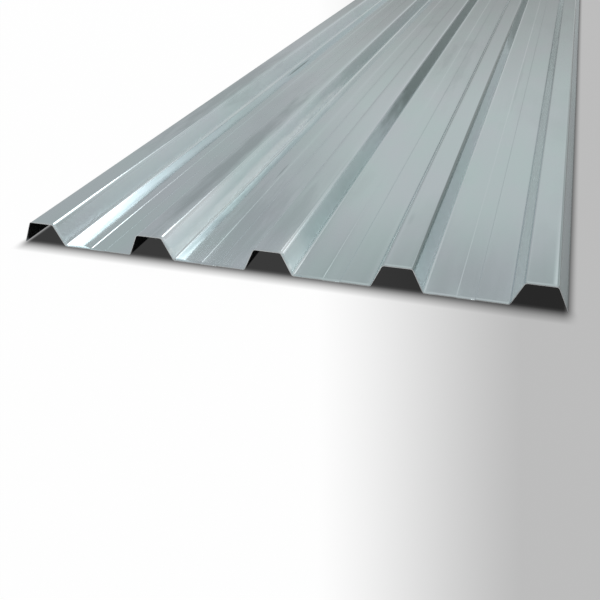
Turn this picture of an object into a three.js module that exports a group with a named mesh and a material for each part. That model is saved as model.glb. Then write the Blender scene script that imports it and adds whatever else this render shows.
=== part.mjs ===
import * as THREE from 'three';

// A trapezoidal roofing sheet, roll-formed from one flat strip of zinc-coated steel.
// Millimetres. X runs across the sheet, Y along its length and Z up. The origin is in
// the middle of the sheet, on the level that it lies on: the undersides of its grooves.

const sheetLength = 3000; // stock length, cut square at both ends
const metalThickness = 0.8;
const ribCount = 5;

// Widths across the section are between bend lines at mid thickness.
const ribFoot = 70; // between the two feet of a rib
const ribCrest = 39; // flat top of a rib
const ribHeight = 34; // underside of the pans to the top of the crests
const ribBendRadius = 4;
const panWidth = 110; // between the feet of neighbouring ribs

// A shallow stiffening groove is rolled down into the middle of each pan.
const grooveMouth = 25; // across the groove, level with the pan
const grooveBed = 22.6; // across its flat bottom
const grooveDepth = 0.5;
const grooveBendRadius = 2;

const arcSegments = 3; // line segments for each half of a bend

const ribPitch = ribFoot + panWidth;

// The middle line of the metal: its level in the pans, and how far it climbs a rib.
const panLevel = grooveDepth + metalThickness / 2;
const ribClimb = ribHeight - metalThickness;

// The four bend lines of a rib or a groove, which climbs or drops from the level of the pan.
function formedStrip(centre, mouth, flat, climb, radius) {
	return [
		{ x: centre - mouth / 2, y: panLevel, radius },
		{ x: centre - flat / 2, y: panLevel + climb, radius },
		{ x: centre + flat / 2, y: panLevel + climb, radius },
		{ x: centre + mouth / 2, y: panLevel, radius },
	];
}

// The whole section as one line of corners, from edge to edge. The first and last
// corners are the raw edges of the strip, so nothing is bent there.
function sectionCorners() {
	const corners = [];
	for (let rib = 0; rib < ribCount; rib++) {
		const centre = (rib - (ribCount - 1) / 2) * ribPitch;
		corners.push(...formedStrip(centre, ribFoot, ribCrest, ribClimb, ribBendRadius));
		if (rib < ribCount - 1) {
			const panCentre = centre + ribPitch / 2;
			corners.push(...formedStrip(panCentre, grooveMouth, grooveBed, -grooveDepth, grooveBendRadius));
		}
	}
	return corners;
}

// The bend at a corner: its centre, and the angles from there to where it starts and ends.
function bendAt(before, corner, after) {
	const entry = Math.atan2(corner.y - before.y, corner.x - before.x);
	const exit = Math.atan2(after.y - corner.y, after.x - corner.x);
	const turn = Math.sign(exit - entry); // 1 where the strip bends upwards
	const setback = corner.radius * Math.tan(Math.abs(exit - entry) / 2);
	const offset = turn * corner.radius;
	return {
		x: corner.x - setback * Math.cos(entry) - offset * Math.sin(entry),
		y: corner.y - setback * Math.sin(entry) + offset * Math.cos(entry),
		start: entry - turn * Math.PI / 2,
		end: exit - turn * Math.PI / 2,
		turn,
		radius: corner.radius,
	};
}

// Where a raw edge meets one face of the strip. The side is 1 for the top face, -1 below.
function edgePoint(edge, inner, side) {
	const along = new THREE.Vector2(inner.x - edge.x, inner.y - edge.y).normalize();
	const towardsTop = edge.x < inner.x ? side : -side;
	const shift = towardsTop * metalThickness / 2;
	return new THREE.Vector2(edge.x - shift * along.y, edge.y + shift * along.x);
}

// The outline goes along the underside from left to right, and back along the top.
function stripOutline() {
	const corners = sectionCorners();
	const first = corners[0];
	const last = corners[corners.length - 1];
	const bends = [];
	for (let i = 1; i < corners.length - 1; i++) {
		bends.push(bendAt(corners[i - 1], corners[i], corners[i + 1]));
	}
	const half = metalThickness / 2;
	const start = edgePoint(first, corners[1], -1);
	const underEnd = edgePoint(last, corners[corners.length - 2], -1);
	const topEnd = edgePoint(last, corners[corners.length - 2], 1);
	const topStart = edgePoint(first, corners[1], 1);

	const outline = new THREE.Shape();
	outline.moveTo(topStart.x, topStart.y);
	outline.lineTo(start.x, start.y);
	for (const bend of bends) {
		const radius = bend.radius + bend.turn * half;
		outline.absarc(bend.x, bend.y, radius, bend.start, bend.end, bend.turn < 0);
	}
	outline.lineTo(underEnd.x, underEnd.y);
	outline.lineTo(topEnd.x, topEnd.y);
	for (const bend of bends.reverse()) {
		const radius = bend.radius - bend.turn * half;
		outline.absarc(bend.x, bend.y, radius, bend.end, bend.start, bend.turn > 0);
	}
	outline.closePath();
	return outline;
}

function makeRoofSheet() {
	const geometry = new THREE.ExtrudeGeometry(stripOutline(), {
		depth: sheetLength,
		bevelEnabled: false,
		curveSegments: arcSegments,
	});
	const zincCoatedSteel = new THREE.MeshStandardMaterial({
		color: 0xaeb9bc,
		roughness: 0.32,
		metalness: 1,
	});
	const sheet = new THREE.Mesh(geometry, zincCoatedSteel);
	sheet.name = 'roof_sheet';
	sheet.rotation.x = Math.PI / 2; // the section stands up, and its depth runs towards -Y
	sheet.position.y = sheetLength / 2;
	return sheet;
}

const roofing = new THREE.Group();
roofing.add(makeRoofSheet());

export default roofing;
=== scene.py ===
import math
from functools import partial

import bpy
from mathutils import Matrix, Vector


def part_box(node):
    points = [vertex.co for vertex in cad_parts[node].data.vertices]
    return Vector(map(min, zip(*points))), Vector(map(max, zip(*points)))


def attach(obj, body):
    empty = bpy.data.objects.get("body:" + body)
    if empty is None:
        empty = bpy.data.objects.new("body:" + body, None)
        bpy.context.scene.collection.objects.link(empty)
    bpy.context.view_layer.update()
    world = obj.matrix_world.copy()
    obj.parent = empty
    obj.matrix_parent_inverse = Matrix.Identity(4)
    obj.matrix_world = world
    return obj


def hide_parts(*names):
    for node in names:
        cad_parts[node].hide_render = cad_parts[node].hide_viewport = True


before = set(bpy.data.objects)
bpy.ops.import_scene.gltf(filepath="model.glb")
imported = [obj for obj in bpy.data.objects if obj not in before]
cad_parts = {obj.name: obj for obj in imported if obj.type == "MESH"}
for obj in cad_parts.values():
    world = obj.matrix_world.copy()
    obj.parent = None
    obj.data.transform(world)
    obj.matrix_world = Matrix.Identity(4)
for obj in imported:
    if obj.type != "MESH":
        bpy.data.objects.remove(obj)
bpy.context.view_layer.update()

# A trapezoidal roofing sheet of bright zinc-coated steel, lying on a pale studio floor.
# Metres. X runs across the ribs, Y along them, and Z is up.

sheetLow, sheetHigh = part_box("roof_sheet")
sheetMiddle = (sheetLow + sheetHigh) / 2
sheetLength = sheetHigh.y - sheetLow.y
sheetHeight = sheetHigh.z - sheetLow.z
print("frame: a sheet", round(sheetLength, 3), "m long and", round(sheetHigh.x - sheetLow.x, 4), "m wide")


def srgb(hexCode):
    # A colour as it is read off a screen, turned into the linear values that Blender mixes.
    channels = [int(hexCode[i:i + 2], 16) / 255 for i in (1, 3, 5)]
    linear = [c / 12.92 if c <= 0.04045 else ((c + 0.055) / 1.055) ** 2.4 for c in channels]
    return (*linear, 1.0)


def addNode(tree, kind, inputs=(), output=0, **settings):
    # Adds one node. Inputs go by place in a list, or by name or place in a dictionary, and a
    # socket among them is linked. One output comes back, or all of them where output is None.
    node = tree.nodes.new(kind)
    node.location = (180 * (len(tree.nodes) % 12), -240 * (len(tree.nodes) // 12))
    for name, value in settings.items():
        setattr(node, name, value)
    entries = inputs.items() if isinstance(inputs, dict) else enumerate(inputs)
    for key, value in entries:
        socket = node.inputs[key]
        if isinstance(value, bpy.types.NodeSocket):
            tree.links.new(value, socket)
        else:
            socket.default_value = value
    return node.outputs if output is None else node.outputs[output]


# The sheet's sizes, each an input of the tree that rolls it. The bends stand at mid thickness.
sheet = {
    "Rib Count": 5,
    "Rib Pitch": 0.180,
    "Rib Foot": 0.070,
    "Rib Crest": 0.039,
    "Rib Height": 0.034,
    "Bend Radius": 0.004,
    "Bend Points": 4,  # of the mesh in each bend
    "Groove Mouth": 0.025,
    "Groove Bed": 0.0236,
    "Groove Bend Radius": 0.0008,
    "Metal Thickness": 0.0008,
    "Sheet Length": sheetLength,
    "Rows": 120,  # of mesh points along the sheet
    "Row Crowding": 0.4,  # how strongly they crowd towards the cut ends
    "Column Spacing": 0.006,  # the most between mesh points across the flats
    "Wave Height": 0.0003,
    "Wave Width": 0.110,
    "Wave Length": 0.450,
    "Wave Margin": 0.035,  # how far from a rib's foot the pan waves freely
    "Wave Seed": 4.0,
    "Edge Roll": 0.002,  # how far in from the cut the shear bent the metal
    "Edge Drop": 0.0005,  # and how far down
    "Edge Tear": 0.0004,  # from the least to the most torn place
    "Tear Grain": 0.009,
    "Tear Seed": 8.0,
}
sheet["Groove Depth"] = sheetHeight - sheet["Rib Height"]  # the grooves lie below the pans


def makeSheetTree():
    tree = bpy.data.node_groups.new("rollFormedSheet", "GeometryNodeTree")
    for name, value in sheet.items():
        kind = "NodeSocketInt" if isinstance(value, int) else "NodeSocketFloat"
        tree.interface.new_socket(name, in_out="INPUT", socket_type=kind)
    tree.interface.new_socket("Zinc", in_out="INPUT", socket_type="NodeSocketMaterial")
    tree.interface.new_socket("Edge", in_out="INPUT", socket_type="NodeSocketMaterial")
    tree.interface.new_socket("Sheet", in_out="OUTPUT", socket_type="NodeSocketGeometry")
    add = partial(addNode, tree)
    given = add("NodeGroupInput", output=None)
    place = add("GeometryNodeInputPosition")
    index = add("GeometryNodeInputIndex")
    gaps = add("ShaderNodeMath", [given["Rib Count"], 1.0], operation="SUBTRACT")
    span = add("ShaderNodeMath", [gaps, given["Rib Pitch"]], operation="MULTIPLY")

    def repeatCorners(bottom, top, depth, lift, radius, count):
        # Four corners of a rib or a groove, set down count times at the rib pitch.
        widths = {"Bottom Width": bottom, "Top Width": top, "Height": depth, "Offset": 0.0}
        shape = add("GeometryNodeCurvePrimitiveQuadrilateral", widths, mode="TRAPEZOID")
        points = add("GeometryNodeCurveToPoints", [shape], mode="EVALUATED")
        bent = {"Geometry": points, "Name": "bend", "Value": radius}
        marked = add("GeometryNodeStoreNamedAttribute", bent)
        copies = add("ShaderNodeMath", [count, 1.0], operation="SUBTRACT")
        reach = add("ShaderNodeMath", [copies, given["Rib Pitch"]], operation="MULTIPLY")
        start = add("ShaderNodeMath", [reach, -0.5], operation="MULTIPLY")
        tall = add("ShaderNodeMath", [depth, given["Metal Thickness"]], operation="ADD")
        level = add("ShaderNodeMath", [tall, 0.5, lift], operation="MULTIPLY_ADD")
        first = add("ShaderNodeCombineXYZ", [start, level])
        step = add("ShaderNodeCombineXYZ", [given["Rib Pitch"]])
        line = add("GeometryNodeMeshLine", {"Count": count, "Start Location": first, "Offset": step})
        placed = add("GeometryNodeInstanceOnPoints", {"Points": line, "Instance": marked})
        return add("GeometryNodeRealizeInstances", [placed])

    ribClimb = add("ShaderNodeMath", [given["Rib Height"], given["Metal Thickness"]], operation="SUBTRACT")
    ribs = repeatCorners(given["Rib Foot"], given["Rib Crest"], ribClimb, given["Groove Depth"],
                         given["Bend Radius"], given["Rib Count"])
    panCount = add("FunctionNodeFloatToInt", [gaps])
    grooves = repeatCorners(given["Groove Bed"], given["Groove Mouth"], given["Groove Depth"], 0.0,
                            given["Groove Bend Radius"], panCount)
    corners = add("GeometryNodeJoinGeometry", [ribs])
    tree.links.new(grooves, corners.node.inputs[0])

    # All corners from left to right make the section, whose bends are then rounded.
    parts = add("ShaderNodeSeparateXYZ", [place], output=None)
    section = add("GeometryNodePointsToCurves", {"Points": corners, "Weight": parts["X"]})
    bend = add("GeometryNodeInputNamedAttribute", ["bend"])
    bends = {"Curve": section, "Count": given["Bend Points"], "Radius": bend}
    rounded = add("GeometryNodeFilletCurve", bends, mode="POLY")

    # Long flats are divided so that they can wave a little.
    nextIndex = add("ShaderNodeMath", [index, 1.0], operation="ADD")
    onward = {"Value": place, "Index": nextIndex}
    nextPlace = add("GeometryNodeFieldAtIndex", onward, data_type="FLOAT_VECTOR")
    gap = add("ShaderNodeVectorMath", [place, nextPlace], output="Value", operation="DISTANCE")
    fitting = add("ShaderNodeMath", [gap, given["Column Spacing"]], operation="DIVIDE")
    cuts = add("FunctionNodeFloatToInt", [fitting], rounding_mode="FLOOR")
    divided = add("GeometryNodeSubdivideCurve", {"Curve": rounded, "Cuts": cuts})

    # The rail runs the length of the sheet. Its rows crowd together towards the cut ends, and the
    # last row at each end stands on the rolled rim of the cut.
    halfLength = add("ShaderNodeMath", [given["Sheet Length"], 0.5], operation="MULTIPLY")
    innerHalf = add("ShaderNodeMath", [halfLength, given["Edge Roll"]], operation="SUBTRACT")
    frontHalf = add("ShaderNodeMath", [halfLength, -1.0], operation="MULTIPLY")
    railStart = add("ShaderNodeCombineXYZ", {"Y": halfLength})
    railEnd = add("ShaderNodeCombineXYZ", {"Y": frontHalf})
    rail = add("GeometryNodeCurvePrimitiveLine", {"Start": railStart, "End": railEnd})
    rows = add("GeometryNodeResampleCurve", {"Curve": rail, "Count": given["Rows"]})
    lastInner = add("ShaderNodeMath", [given["Rows"], 2.0], operation="SUBTRACT")
    along = add("ShaderNodeMapRange", [index, 1.0, lastInner, 1.0, -1.0])
    cube = add("ShaderNodeMath", [along, 3.0], operation="POWER")
    slack = add("ShaderNodeMath", [along, cube], operation="SUBTRACT")
    crowding = add("ShaderNodeMath", [slack, given["Row Crowding"], along], operation="MULTIPLY_ADD")
    crowded = add("ShaderNodeMath", [crowding, innerHalf], operation="MULTIPLY")
    isFirst = add("ShaderNodeMath", [index, 0.5], operation="LESS_THAN")
    pastInner = add("ShaderNodeMath", [lastInner, 0.5], operation="ADD")
    isLast = add("ShaderNodeMath", [index, pastInner], operation="GREATER_THAN")
    whichEnd = add("ShaderNodeMath", [isFirst, isLast], operation="SUBTRACT")
    rowPlace = add("ShaderNodeMath", [whichEnd, given["Edge Roll"], crowded], operation="MULTIPLY_ADD")
    onRail = add("ShaderNodeCombineXYZ", {"Y": rowPlace})
    spaced = add("GeometryNodeSetPosition", {"Geometry": rows, "Position": onRail})
    upright = {"Curve": spaced, "Normal": (1.0, 0.0, 0.0)}
    level = add("GeometryNodeSetCurveNormal", upright, mode="FREE")
    formed = add("GeometryNodeCurveToMesh", {"Curve": level, "Profile Curve": divided})

    def roughly(width, length, detail, seed):
        # A noise of features of this width and length, from about -0.5 to 0.5, the same at any height.
        size = add("ShaderNodeCombineXYZ", [width, length])
        scaled = add("ShaderNodeVectorMath", [place, size], operation="DIVIDE")
        grain = {"Vector": scaled, "W": seed, "Scale": 1.0, "Detail": detail, "Roughness": 0.5}
        texture = add("ShaderNodeTexNoise", grain, noise_dimensions="4D")
        return add("ShaderNodeMath", [texture, 0.5], operation="SUBTRACT")

    # Where a point is across the sheet: which rib is nearest, and how far past its foot it lies.
    fromFirst = add("ShaderNodeMath", [span, 0.5, parts["X"]], operation="MULTIPLY_ADD")
    pitches = add("ShaderNodeMath", [fromFirst, given["Rib Pitch"]], operation="DIVIDE")
    rib = add("ShaderNodeMath", [pitches], operation="ROUND")
    ribPlace = add("ShaderNodeMath", [rib, given["Rib Pitch"]], operation="MULTIPLY")
    fromRib = add("ShaderNodeMath", [fromFirst, ribPlace], operation="SUBTRACT")
    aside = add("ShaderNodeMath", [fromRib], operation="ABSOLUTE")
    halfFoot = add("ShaderNodeMath", [given["Rib Foot"], 0.5], operation="MULTIPLY")
    fromFoot = add("ShaderNodeMath", [aside, halfFoot], operation="SUBTRACT")

    # The flat pans stand in shallow waves, as thin roll-formed sheet does, pinned at the feet.
    freely = [fromFoot, 0.0, given["Wave Margin"], 0.0, 1.0]
    loose = add("ShaderNodeMapRange", freely, interpolation_type="SMOOTHSTEP")
    swell = roughly(given["Wave Width"], given["Wave Length"], 2.0, given["Wave Seed"])
    raised = add("ShaderNodeMath", [swell, 0.5], operation="ADD")
    wave = add("ShaderNodeMath", [raised, given["Wave Height"]], operation="MULTIPLY")
    lift = add("ShaderNodeMath", [loose, wave], operation="MULTIPLY")
    waveOffset = add("ShaderNodeCombineXYZ", {"Z": lift})
    waved = add("GeometryNodeSetPosition", {"Geometry": formed, "Offset": waveOffset})

    # The shear drags the rim of each cut end down and leaves it slightly torn.
    fromMiddle = add("ShaderNodeMath", [parts["Y"]], operation="ABSOLUTE")
    rimStart = add("ShaderNodeMath", [given["Edge Roll"], -0.5, halfLength], operation="MULTIPLY_ADD")
    onRim = add("ShaderNodeMath", [fromMiddle, rimStart], operation="GREATER_THAN")
    burr = roughly(given["Tear Grain"], given["Tear Grain"], 1.0, given["Tear Seed"])
    ragged = add("ShaderNodeMath", [burr, given["Edge Tear"]], operation="MULTIPLY")
    whichWay = add("ShaderNodeMath", [parts["Y"]], operation="SIGN")
    tear = add("ShaderNodeMath", [ragged, whichWay], operation="MULTIPLY")
    tearOffset = add("ShaderNodeCombineXYZ", {"Y": tear})
    normal = add("GeometryNodeInputNormal")
    drop = add("ShaderNodeMath", [given["Edge Drop"], -1.0], operation="MULTIPLY")
    dragged = add("ShaderNodeVectorMath", {"Vector": normal, "Scale": drop}, operation="SCALE")
    torn = add("ShaderNodeVectorMath", [dragged, tearOffset], operation="ADD")
    rimmed = {"Geometry": waved, "Selection": onRim, "Offset": torn}
    skin = add("GeometryNodeSetPosition", rimmed)

    # The skin is the middle of the metal: half the thickness goes below it, half above. Zinc is
    # laid on it first, so that every face made from it is coated.
    halfDown = add("ShaderNodeMath", [given["Metal Thickness"], -0.5], operation="MULTIPLY")
    down = add("ShaderNodeVectorMath", {"Vector": normal, "Scale": halfDown}, operation="SCALE")
    under = add("GeometryNodeSetPosition", {"Geometry": skin, "Offset": down})
    coated = add("GeometryNodeSetMaterial", {"Geometry": under, "Material": given["Zinc"]})
    thickness = {"Mesh": coated, "Offset Scale": given["Metal Thickness"], "Individual": False}
    thick = add("GeometryNodeExtrudeMesh", thickness, output=None)
    flipped = add("GeometryNodeFlipFaces", [coated])
    both = add("GeometryNodeJoinGeometry", [thick["Mesh"]])
    tree.links.new(flipped, both.node.inputs[0])

    # The doubled points along the rim are merged, and only its corners stay sharp.
    closed = add("GeometryNodeMergeByDistance", {"Geometry": both, "Distance": 0.00001})
    smooth = add("GeometryNodeSetShadeSmooth", {"Geometry": closed, "Shade Smooth": True})
    angle = add("GeometryNodeInputMeshEdgeAngle")
    isSharp = add("ShaderNodeMath", [angle, math.radians(40)], operation="GREATER_THAN")
    sharpened = {"Geometry": smooth, "Selection": isSharp, "Shade Smooth": False}
    crisp = add("GeometryNodeSetShadeSmooth", sharpened, domain="EDGE")
    whole = add("GeometryNodeRealizeInstances", [crisp])

    # The shear laid the cut faces bare.
    isBare = add("ShaderNodeMath", [thick["Side"], onRim], operation="MULTIPLY")
    bare = {"Geometry": whole, "Selection": isBare, "Material": given["Edge"]}
    finished = add("GeometryNodeSetMaterial", bare)
    add("NodeGroupOutput", [finished], output=None)
    return tree


zinc = {
    "colour": "#c8d8d9",
    "violetTint": "#ccd5da",
    "dullColour": "#b6c2c4",
    "leftFlankSheenColour": "#e9f1f0",  # painted sheen: the left flanks, coloured lighter than the pans
    # stains, and painted shade over one highlight
    "stainAndShadeColour": "#98a5a8",
    # painted shade on the flanks and in two of the bends
    "paintedShadeColour": "#5f706f",
    # painted highlights and painted sheen
    "paintedHighlightColour": "#f6fafb",
    "roughness": 0.10,
    "flankRoughness": 0.295,  # the flanks are drawn over the forming rolls and come out duller
    "streakRoughness": 0.03,  # how far it varies from streak to streak
    "stainRoughness": 0.05,  # how much rougher a stain is, and a painted highlight
    "highlightRoughness": 0.25,
    "peelDepth": 0.00004,  # of the faint orange peel that the dip leaves
    "panPeel": 0.16,  # how much of it is left on the flats and the flanks
    "flankPeel": 0.03,
    "flankFrom": (0.002, 0.007),  # heights over which a flank's finish comes in above a pan
    "flankTo": (0.006, 0.002),  # and goes out below a crest
    # the patterns of the finish: how wide their features are in mm, how many times longer they run
    # along the sheet, their detail, and where in the noise they lie
    "tintClouds": (90, 2.5, 3.0, 0.0),
    "dullClouds": (153, 3.0, 4.0, 7.0),
    "streaks": (16, 22.0, 3.0, 3.0),
    "orangePeel": (14, 3.0, 2.0, 5.0),
    "fraying": (12, 9.0, 4.0, 9.0),  # of the outlines of the marks
    # marks of handling and damp, and painted shade that dims the highlight beside the second rib's foot:
    # where each lies, its width and length in mm, and its strength
    "stainsAndShade": [(-362, -740, 60, 900, 0.50), (-302, -1340, 16, 640, 0.55), (-231, -980, 16, 420, 0.45),
               (-181, -1140, 42, 1040, 0.60), (-137, -1400, 20, 380, 1.0), (-107, -1135, 5, 110, 0.55),
               (-85, -1360, 110, 420, 0.30), (-60, 220, 70, 160, 0.25), (-20, -760, 6, 300, 0.20),
               (0, -1380, 40, 300, 0.30), (60, -210, 26, 420, 0.26), (95, -60, 70, 200, 0.20),
               (112, -330, 30, 560, 0.24), (170, -1350, 10, 60, 0.18), (262, -430, 9, 620, 0.22)],
    # painted shade that darkens parts of the flanks, on the flanks only
    "flankShade": [(-152, 350, 60, 2300, 0.42), (25, -1150, 30, 900, 0.16), (28, 100, 60, 2300, 0.93),
              (208, -800, 60, 1900, 0.20), (208, 500, 60, 1400, 0.9)],
    # painted shade that darkens two of the bends, and one dark smear on a pan
    "creaseShade": [(200.4, -640, 7, 2500, 0.88), (379, -640, 5, 2500, 0.6), (-314.5, -400, 7, 200, 0.8)],
    # painted highlights: pale spots at two flanks' front corners and a pale strip on one flank's foot
    "paintedHighlights": [(-150, -1495, 7, 22, 0.8), (30, -1495, 6, 20, 0.8), (-148.5, -1100, 8, 1500, 0.6)],
    # painted sheen: strips beside the ribs' feet coloured paler, without making them duller
    "sheenStrips": [(-314, -760, 30, 1000, 0.45), (-154, -1420, 28, 420, 0.25), (-138, -250, 18, 1700, 0.75),
               (26, -1475, 30, 150, 0.45)],
}


def makeZincCoating():
    # Hot-dip zinc without spangle, skin-passed between rolls: bright, faintly blue-green and
    # violet by turns, with soft clouds, long faint streaks along the rolling direction and
    # a few dull marks of handling. Painted sheen, shade and highlights lie over it in places.
    material = bpy.data.materials.new("brightZincCoating")
    material.use_nodes = True
    tree = material.node_tree
    tree.nodes.clear()
    add = partial(addNode, tree)
    place = add("ShaderNodeTexCoord", output="Object")

    def patterned(name):
        # The noise of one of the patterns.
        widthMm, stretch, detail, shift = zinc[name]
        scale = 1000 / widthMm
        laying = {"Vector": place, "Location": (shift, shift, 0.0), "Scale": (scale, scale / stretch, scale)}
        laid = add("ShaderNodeMapping", laying)
        return add("ShaderNodeTexNoise", {"Vector": laid, "Scale": 1.0, "Detail": detail, "Roughness": 0.55})

    # Most of a noise lies between 0.35 and 0.65. The dull clouds are its peaks alone.
    tint = add("ShaderNodeMapRange", [patterned("tintClouds"), 0.35, 0.65, 0.0, 1.0])
    dull = add("ShaderNodeMapRange", [patterned("dullClouds"), 0.52, 0.75, 0.0, 0.45])

    # The outlines of the marks are broken by a noise that runs with the sheet.
    frayed = add("ShaderNodeMath", [patterned("fraying"), 0.5], operation="SUBTRACT")

    def marks(places, core=0.2, fray=1.6):
        # All the marks of a list together. Each is at full strength up to core of its half size
        # and fades out just past its outline.
        covered = 0.0
        for x, y, width, length, strength in places:
            spot = {"Vector": place, "Location": (x / 1000, y / 1000, 0.0),
                    "Scale": (width / 2000, length / 2000, 1.0)}
            laid = add("ShaderNodeMapping", spot, vector_type="TEXTURE")
            away = add("ShaderNodeVectorMath", [laid], output="Value", operation="LENGTH")
            edge = add("ShaderNodeMath", [frayed, fray, away], operation="MULTIPLY_ADD")
            fading = [edge, core, 1.1, strength, 0.0]
            mark = add("ShaderNodeMapRange", fading, interpolation_type="SMOOTHSTEP")
            covered = add("ShaderNodeMath", [mark, covered], operation="MAXIMUM")
        return covered

    # Stains, and painted shade over one highlight.
    stainedAndShaded = marks(zinc["stainsAndShade"])
    # Painted highlights: pale, rougher spots.
    highlighted = marks(zinc["paintedHighlights"])
    # Painted sheen: paler strips beside the ribs' feet.
    sheenStrips = marks(zinc["sheenStrips"], 0.3, 0.6)

    # Where a point is: on a flat or on a flank, and on the left or the right of its rib.
    parts = add("ShaderNodeSeparateXYZ", [place], output=None)
    aboveFoot = add("ShaderNodeMapRange", [parts["Z"], *zinc["flankFrom"], 0.0, 1.0])
    towardsCrest = [sheetHeight - below for below in zinc["flankTo"]]
    belowCrest = add("ShaderNodeMapRange", [parts["Z"], *towardsCrest, 1.0, 0.0])
    flank = add("ShaderNodeMath", [aboveFoot, belowCrest], operation="MULTIPLY")
    halfPitch = sheet["Rib Pitch"] / 2
    fromRib = add("ShaderNodeMath", [parts["X"], halfPitch, -halfPitch], operation="WRAP")
    isLeft = add("ShaderNodeMath", [fromRib, 0.0], operation="LESS_THAN")
    # Painted sheen: the left flanks take a lighter colour.
    leftFlank = add("ShaderNodeMath", [flank, isLeft], operation="MULTIPLY")
    # Painted shade: dark bands on the flanks and in two of the bends.
    flankShading = add("ShaderNodeMath", [marks(zinc["flankShade"], 0.6, 0.4), flank], operation="MULTIPLY")
    bendShading = marks(zinc["creaseShade"], 0.6, 0.2)
    paintedShade = add("ShaderNodeMath", [flankShading, bendShading], operation="MAXIMUM")

    # The colours lie over each other in this order. The left flanks' sheen, the pale strips, the shade and
    # the highlights among them are painted.
    finish = srgb(zinc["colour"])
    layers = [(tint, "violetTint"), (dull, "dullColour"), (leftFlank, "leftFlankSheenColour"),
              (sheenStrips, "paintedHighlightColour"), (stainedAndShaded, "stainAndShadeColour"), (paintedShade, "paintedShadeColour"),
              (highlighted, "paintedHighlightColour")]
    for amount, colour in layers:
        layer = {0: amount, 6: finish, 7: srgb(zinc[colour])}  # 6 and 7 are a Mix node's colours
        finish = add("ShaderNodeMix", layer, output=2, data_type="RGBA")

    even = add("ShaderNodeMapRange", [flank, 0.0, 1.0, zinc["roughness"], zinc["flankRoughness"]])
    halfStreak = zinc["streakRoughness"] / 2
    streaked = add("ShaderNodeMapRange", [patterned("streaks"), 0.35, 0.65, -halfStreak, halfStreak])
    rolled = add("ShaderNodeMath", [even, streaked], operation="ADD")
    dulled = add("ShaderNodeMath", [stainedAndShaded, zinc["stainRoughness"], rolled], operation="MULTIPLY_ADD")
    rough = add("ShaderNodeMath", [highlighted, zinc["highlightRoughness"], dulled], operation="MULTIPLY_ADD")
    pressed = add("ShaderNodeMapRange", [flank, 0.0, 1.0, zinc["panPeel"], zinc["flankPeel"]])
    peel = {"Strength": pressed, "Distance": zinc["peelDepth"], "Height": patterned("orangePeel")}
    bump = add("ShaderNodeBump", peel)
    metal = {"Base Color": finish, "Metallic": 1.0, "Roughness": rough, "Normal": bump}
    shader = add("ShaderNodeBsdfPrincipled", metal)
    add("ShaderNodeOutputMaterial", {"Surface": shader}, output=None)
    return material


cutEdge = {
    "colour": "#eceff0",
    "smoothest": 0.3,
    "roughest": 0.5,
    "grainMm": 1.43,  # drawn coarser than the real tear, which would not show
}


def makeShearedEdge():
    # Steel freshly cut by the shear: bright, finely torn and grainy.
    material = bpy.data.materials.new("shearedSteelEdge")
    material.use_nodes = True
    tree = material.node_tree
    tree.nodes.clear()
    add = partial(addNode, tree)
    place = add("ShaderNodeTexCoord", output="Object")
    grain = add("ShaderNodeTexNoise", {"Vector": place, "Scale": 1000 / cutEdge["grainMm"], "Detail": 2.0})
    shine = add("ShaderNodeMapRange", [grain, 0.35, 0.65, cutEdge["smoothest"], cutEdge["roughest"]])
    metal = {"Base Color": srgb(cutEdge["colour"]), "Metallic": 1.0, "Roughness": shine}
    shader = add("ShaderNodeBsdfPrincipled", metal)
    add("ShaderNodeOutputMaterial", {"Surface": shader}, output=None)
    return material


def makeSheet():
    tree = makeSheetTree()
    mesh = bpy.data.meshes.new("roofSheetStart")
    holder = bpy.data.objects.new("roofSheetHolder", mesh)
    bpy.context.scene.collection.objects.link(holder)
    modifier = holder.modifiers.new("rollForming", "NODES")
    modifier.node_group = tree
    values = {**sheet, "Zinc": makeZincCoating(), "Edge": makeShearedEdge()}
    for item in tree.interface.items_tree:
        if item.in_out == "INPUT":
            modifier[item.identifier] = values[item.name]
    holder.update_tag()
    bpy.context.view_layer.update()
    ready = holder.evaluated_get(bpy.context.evaluated_depsgraph_get())
    shaped = bpy.data.meshes.new_from_object(ready)
    shaped.name = "zincRoofSheet"
    piece = bpy.data.objects.new("zincRoofSheet", shaped)
    bpy.context.scene.collection.objects.link(piece)
    bpy.data.objects.remove(holder)
    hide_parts("roof_sheet")
    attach(piece, "root")
    triangles = sum(len(face.vertices) - 2 for face in shaped.polygons)
    print("sheet:", triangles, "triangles in", ", ".join(m.name for m in shaped.materials))


floorPaint = {
    "colour": "#ffffff",
    "dimColour": "#bdbdbd",
    "mirroredUnderSheet": "#050505",
    "roughness": 0.9,
    "halfWidth": 30.0,
    "below": 0.0005,  # how far it lies under the sheet, so that the two never touch
    "glow": 0.96,  # how much of the floor's tone the camera sees comes from its colour alone
    "mirrored": 0.66,  # the share of the floor's tone that the metal beside it sees
    # the floor dims to the right like a fan opened from this point, between these two slopes
    "fanCentre": (0.416, -2.631),
    "fanFrom": -0.305,
    "fanTo": -0.068,
    "fanLeast": 0.5,  # nearer the point than this the fan narrows no more
    "fanEase": 0.35,  # how much of the dimming eases in and out
    "dimAcross": (0.5, 1.6),  # and fades out again between these distances to the right
    "dimAlong": (-0.6, 1.6, 3.2),  # and so it does this far before and behind the first of these
    # the contact shadow at the ends of the sheet, by the distance out from the cut in mm
    "endShadow": [(-10, "#3b3b3b"), (-5, "#4f4f4f"), (1, "#868686"), (13, "#d0d0d0"), (27, "#ffffff")],
    "sideShadow": 0.011,  # how far it reaches past the sides
    "cornerShadow": 0.013,  # and past the corners
    "cornerEnd": 0.005,  # which lie this far past the cut
    "sideShadowStart": -0.55,  # where it begins to fade, as a share of its reach
    # where the black that the metal mirrors under the sheet fades out, past its ends and its sides
    "blackPastEnd": (-0.012, -0.002),
    "blackPastSide": (-0.002, 0.001),
}


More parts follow.
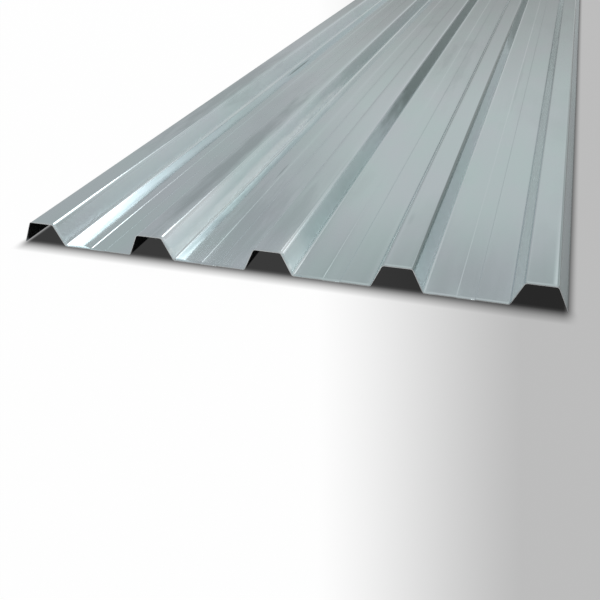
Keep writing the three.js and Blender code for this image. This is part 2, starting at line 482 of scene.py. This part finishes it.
def setTones(ramp, tones):
    # Gives a colour ramp its tones, each at its place from 0 to 1.
    stops = ramp.node.color_ramp.elements
    while len(stops) < len(tones):
        stops.new(1.0)
    for stop, (position, colour) in zip(stops, tones):
        stop.position = position
        stop.color = srgb(colour)
    return ramp


def makeFloorPaint():
    # Matt white studio paint, rolled on: it is too rough to mirror anything, so only the painted grey shade
    # towards the right and the shadow round the sheet show on it.
    material = bpy.data.materials.new("mattWhitePaint")
    material.use_nodes = True
    tree = material.node_tree
    tree.nodes.clear()
    add = partial(addNode, tree)
    place = add("ShaderNodeTexCoord", output="Object")
    parts = add("ShaderNodeSeparateXYZ", [place], output=None)

    # Painted shade: the pale floor goes over to grey towards the right and comes back far from the sheet.
    centre = floorPaint["fanCentre"]
    pastCentre = add("ShaderNodeMath", [parts["Y"], centre[1]], operation="SUBTRACT")
    ahead = add("ShaderNodeMath", [pastCentre, floorPaint["fanLeast"]], operation="MAXIMUM")
    aside = add("ShaderNodeMath", [parts["X"], centre[0]], operation="SUBTRACT")
    slope = add("ShaderNodeMath", [aside, ahead], operation="DIVIDE")
    fan = add("ShaderNodeMapRange", [slope, floorPaint["fanFrom"], floorPaint["fanTo"], 0.0, 1.0])
    eased = add("ShaderNodeMapRange", [fan, 0.0, 1.0, 0.0, 1.0], interpolation_type="SMOOTHSTEP")
    straight = add("ShaderNodeMath", [fan, 1.0 - floorPaint["fanEase"]], operation="MULTIPLY")
    opened = add("ShaderNodeMath", [eased, floorPaint["fanEase"], straight], operation="MULTIPLY_ADD")
    inward = [parts["X"], *floorPaint["dimAcross"], 1.0, 0.0]
    inSight = add("ShaderNodeMapRange", inward, interpolation_type="SMOOTHSTEP")
    dimMiddle, dimNear, dimFar = floorPaint["dimAlong"]
    fromMiddle = add("ShaderNodeMath", [parts["Y"], dimMiddle], operation="SUBTRACT")
    distance = add("ShaderNodeMath", [fromMiddle], operation="ABSOLUTE")
    nearby = [distance, dimNear, dimFar, 1.0, 0.0]
    isNear = add("ShaderNodeMapRange", nearby, interpolation_type="SMOOTHSTEP")
    dimAcross = add("ShaderNodeMath", [opened, inSight], operation="MULTIPLY")
    dim = add("ShaderNodeMath", [dimAcross, isNear], operation="MULTIPLY")
    tones = {0: dim, 6: srgb(floorPaint["colour"]), 7: srgb(floorPaint["dimColour"])}
    pale = add("ShaderNodeMix", tones, output=2, data_type="RGBA")

    # The contact shadow: deep under the sheet, soft before its cut ends, narrow along its sides.
    shadow = floorPaint["endShadow"]
    first, last = shadow[0][0], shadow[-1][0]
    fromSheet = add("ShaderNodeMath", [parts["Y"], sheetMiddle.y], operation="SUBTRACT")
    toEither = add("ShaderNodeMath", [fromSheet], operation="ABSOLUTE")
    pastEnd = add("ShaderNodeMath", [toEither, sheetLength / 2], operation="SUBTRACT")
    outward = add("ShaderNodeMapRange", [pastEnd, first / 1000, last / 1000, 0.0, 1.0])
    stops = [((mm - first) / (last - first), colour) for mm, colour in shadow]
    endShadow = setTones(add("ShaderNodeValToRGB", [outward]), stops)
    toSide = add("ShaderNodeMath", [parts["X"]], operation="ABSOLUTE")
    pastSide = add("ShaderNodeMath", [toSide, sheetHigh.x], operation="SUBTRACT")
    reaches = floorPaint["sideShadow"], floorPaint["cornerShadow"]
    widening = [pastEnd, first / 1000, floorPaint["cornerEnd"], *reaches]
    reach = add("ShaderNodeMapRange", widening, interpolation_type="SMOOTHSTEP")
    reached = add("ShaderNodeMath", [pastSide, reach], operation="DIVIDE")
    fading = [reached, floorPaint["sideShadowStart"], 1.0, 0.0, 1.0]
    beside = add("ShaderNodeMapRange", fading, interpolation_type="SMOOTHSTEP")
    casting = {0: beside, 6: endShadow, 7: srgb("#ffffff")}  # white leaves the paint as it is
    cast = add("ShaderNodeMix", casting, output=2, data_type="RGBA")
    darkening = {0: 1.0, 6: pale, 7: cast}
    shaded = add("ShaderNodeMix", darkening, output=2, data_type="RGBA", blend_type="MULTIPLY")

    # The camera sees the floor near its own tone. The metal mirrors it dimmer, and black under
    # the sheet: painted shade. The light it gives is that of plain paint.
    rays = add("ShaderNodeLightPath", output=None)
    watched = add("ShaderNodeMath", [rays["Is Camera Ray"], rays["Is Glossy Ray"]], operation="MAXIMUM")
    seen = add("ShaderNodeMath", [watched, floorPaint["glow"]], operation="MULTIPLY")
    lengthwise = [pastEnd, *floorPaint["blackPastEnd"], 1.0, 0.0]
    within = add("ShaderNodeMapRange", lengthwise, interpolation_type="SMOOTHSTEP")
    crosswise = [pastSide, *floorPaint["blackPastSide"], 1.0, 0.0]
    between = add("ShaderNodeMapRange", crosswise, interpolation_type="SMOOTHSTEP")
    under = add("ShaderNodeMath", [within, between], operation="MULTIPLY")
    lost = add("ShaderNodeMath", [under, 1.0 - floorPaint["mirrored"]], operation="MAXIMUM")
    inMetal = add("ShaderNodeMath", [lost, rays["Is Glossy Ray"]], operation="MULTIPLY")
    mirroring = {0: inMetal, 6: shaded, 7: srgb(floorPaint["mirroredUnderSheet"])}
    mirrored = add("ShaderNodeMix", mirroring, output=2, data_type="RGBA")
    paint = add("ShaderNodeBsdfPrincipled", {"Base Color": shaded, "Roughness": floorPaint["roughness"]})
    glow = add("ShaderNodeEmission", {"Color": mirrored, "Strength": 1.0})
    both = add("ShaderNodeMixShader", [seen, paint, glow])
    add("ShaderNodeOutputMaterial", {"Surface": both}, output=None)
    return material


def makeFloor():
    half = floorPaint["halfWidth"]
    mesh = bpy.data.meshes.new("floor")
    corners = [(-half, -half, 0), (half, -half, 0), (half, half, 0), (-half, half, 0)]
    mesh.from_pydata(corners, [], [(0, 1, 2, 3)])
    mesh.materials.append(makeFloorPaint())
    floor = bpy.data.objects.new("floor", mesh)
    bpy.context.scene.collection.objects.link(floor)
    floor.location.z = -floorPaint["below"]
    print("floor:", 2 * half, "m square in", mesh.materials[0].name)


lighting = {
    "distance": 9.0,  # of every softbox from the point on the floor that they face
    "facedIn": 0.3,  # how far in from the near end of the sheet that point lies
    # azimuth and height above the horizon of the middle, width and height, roll, all in degrees,
    # and brightness
    "softboxes": {
        "keySoftbox": (-10, 45.5, 40, 15, 15, 3.0),
        "lowSoftbox": (-1, 36.5, 7, 5, 0, 1.3),
        "sideSoftbox": (38, 2.5, 12, 7, 0, 0.7),
    },
}


def makeSoftboxes():
    distance = lighting["distance"]
    target = Vector((0, sheetLow.y + lighting["facedIn"], 0))
    for name, (azimuth, height, width, tall, roll, brightness) in lighting["softboxes"].items():
        turn, rise = math.radians(azimuth), math.radians(height)
        level = Vector((math.sin(turn), math.cos(turn), 0))
        aim = level * math.cos(rise) + Vector((0, 0, math.sin(rise)))
        side = Vector((math.cos(turn), -math.sin(turn), 0))
        rolled = Matrix.Rotation(math.radians(-roll), 3, aim)
        axes = Matrix((rolled @ side, rolled @ aim.cross(side), aim)).transposed()
        data = bpy.data.lights.new(name, "AREA")
        data.shape = "RECTANGLE"
        data.size = 2 * distance * math.tan(math.radians(width / 2))
        data.size_y = 2 * distance * math.tan(math.radians(tall / 2))
        data.energy = brightness * math.pi * data.size * data.size_y
        lamp = bpy.data.objects.new(name, data)
        lamp.visible_camera = False
        bpy.context.scene.collection.objects.link(lamp)
        lamp.matrix_world = Matrix.Translation(target + aim * distance) @ axes.to_4x4()
    print("softboxes:", ", ".join(lighting["softboxes"]))


studioSky = {
    # Every place in the sky is a part of its direction, from -1 to 1: X to the right of the sheet,
    # Y past its far end and Z up. First the tone by height.
    "byHeight": [(0.12, "#979898"), (0.19, "#b6b8b7"), (0.28, "#d2d5d4"), (0.4, "#d6d8d7"),
                 (0.5, "#b8baba"), (0.6, "#b4b5b6"), (0.85, "#f6f7f7")],
    "leftFlat": "#c1c2c3",  # a dimmer flat to the left of the sheet's far end
    "leftEdge": (-0.36, -0.19),
    # to the right of the sheet's far end the sky glows: by height, and low down by how far right
    "rightByHeight": [(0, "#959595"), (0.1, "#dcdcdc"), (0.2, "#e2e2e2"), (0.37, "#d3d3d3"),
                      (0.56, "#ffffff")],
    "rightEdge": (0.035, 0.10),
    "glowAcross": [(0.1, "#818181"), (0.19, "#8e8e8e"), (0.3, "#c2c2c2"), (0.42, "#e4e4e4"),
                   (0.6, "#ffffff")],
    "glowTop": (0.05, 0.12),
    "farRight": "#aaaaaa",
    "farRightEdge": (0.58, 0.68),
    "behindEdge": (-0.1, -0.5),  # behind the camera the sky goes by height alone
    "backdrop": "#ffffff",
}


def makeSky():
    world = bpy.data.worlds.new("studioSky")
    world.use_nodes = True
    bpy.context.scene.world = world
    tree = world.node_tree
    tree.nodes.clear()
    add = partial(addNode, tree)
    direction = add("ShaderNodeTexCoord", output="Generated")
    parts = add("ShaderNodeSeparateXYZ", [direction], output=None)

    def spread(axis, edge, first, second):
        # The first tone goes over to the second between the two ends of an edge along an axis.
        share = add("ShaderNodeMapRange", [parts[axis], *edge, 0.0, 1.0], interpolation_type="SMOOTHSTEP")
        return add("ShaderNodeMix", {0: share, 6: first, 7: second}, output=2, data_type="RGBA")

    byHeight = setTones(add("ShaderNodeValToRGB", [parts["Z"]]), studioSky["byHeight"])
    high = spread("X", studioSky["leftEdge"], srgb(studioSky["leftFlat"]), byHeight)
    rightByHeight = setTones(add("ShaderNodeValToRGB", [parts["Z"]]), studioSky["rightByHeight"])
    farRight = spread("X", studioSky["farRightEdge"], rightByHeight, srgb(studioSky["farRight"]))
    glow = setTones(add("ShaderNodeValToRGB", [parts["X"]]), studioSky["glowAcross"])
    right = spread("Z", studioSky["glowTop"], glow, farRight)
    ahead = spread("X", studioSky["rightEdge"], high, right)
    around = spread("Y", studioSky["behindEdge"], ahead, byHeight)

    # The camera itself sees a plain white backdrop.
    isSeen = add("ShaderNodeLightPath", output="Is Camera Ray")
    seen = {0: isSeen, 6: around, 7: srgb(studioSky["backdrop"])}
    whole = add("ShaderNodeMix", seen, output=2, data_type="RGBA")
    light = add("ShaderNodeBackground", {"Color": whole, "Strength": 1.0})
    add("ShaderNodeOutputWorld", {"Surface": light}, output=None)
    print("sky:", world.name)


view = {
    "lensMm": 44.79,
    "sensorMm": 36.0,
    "fromCorner": (0.7329, -0.8417, 0.4987),  # from the near left corner of the sheet
    "yawDeg": -19.14,
    "pitchDeg": -30.94,
    "rollDeg": -2.10,
}


def makeCamera():
    data = bpy.data.cameras.new("camera")
    data.lens = view["lensMm"]
    data.sensor_width = view["sensorMm"]
    data.sensor_fit = "HORIZONTAL"
    data.clip_end = 100
    yaw, pitch, roll = (math.radians(view[k]) for k in ("yawDeg", "pitchDeg", "rollDeg"))
    forward = Vector((math.sin(yaw) * math.cos(pitch), math.cos(yaw) * math.cos(pitch), math.sin(pitch)))
    level = Vector((math.cos(yaw), -math.sin(yaw), 0))
    upright = level.cross(forward)
    right = level * math.cos(roll) + upright * math.sin(roll)
    up = upright * math.cos(roll) - level * math.sin(roll)
    camera = bpy.data.objects.new("camera", data)
    bpy.context.scene.collection.objects.link(camera)
    turned = Matrix((right, up, -forward)).transposed().to_4x4()
    camera.matrix_world = Matrix.Translation(sheetLow + Vector(view["fromCorner"])) @ turned
    bpy.context.scene.camera = camera
    print("camera:", view["lensMm"], "mm lens")


makeSheet()
makeFloor()
makeSoftboxes()
makeSky()
makeCamera()
bpy.context.scene.view_settings.view_transform = "Standard"
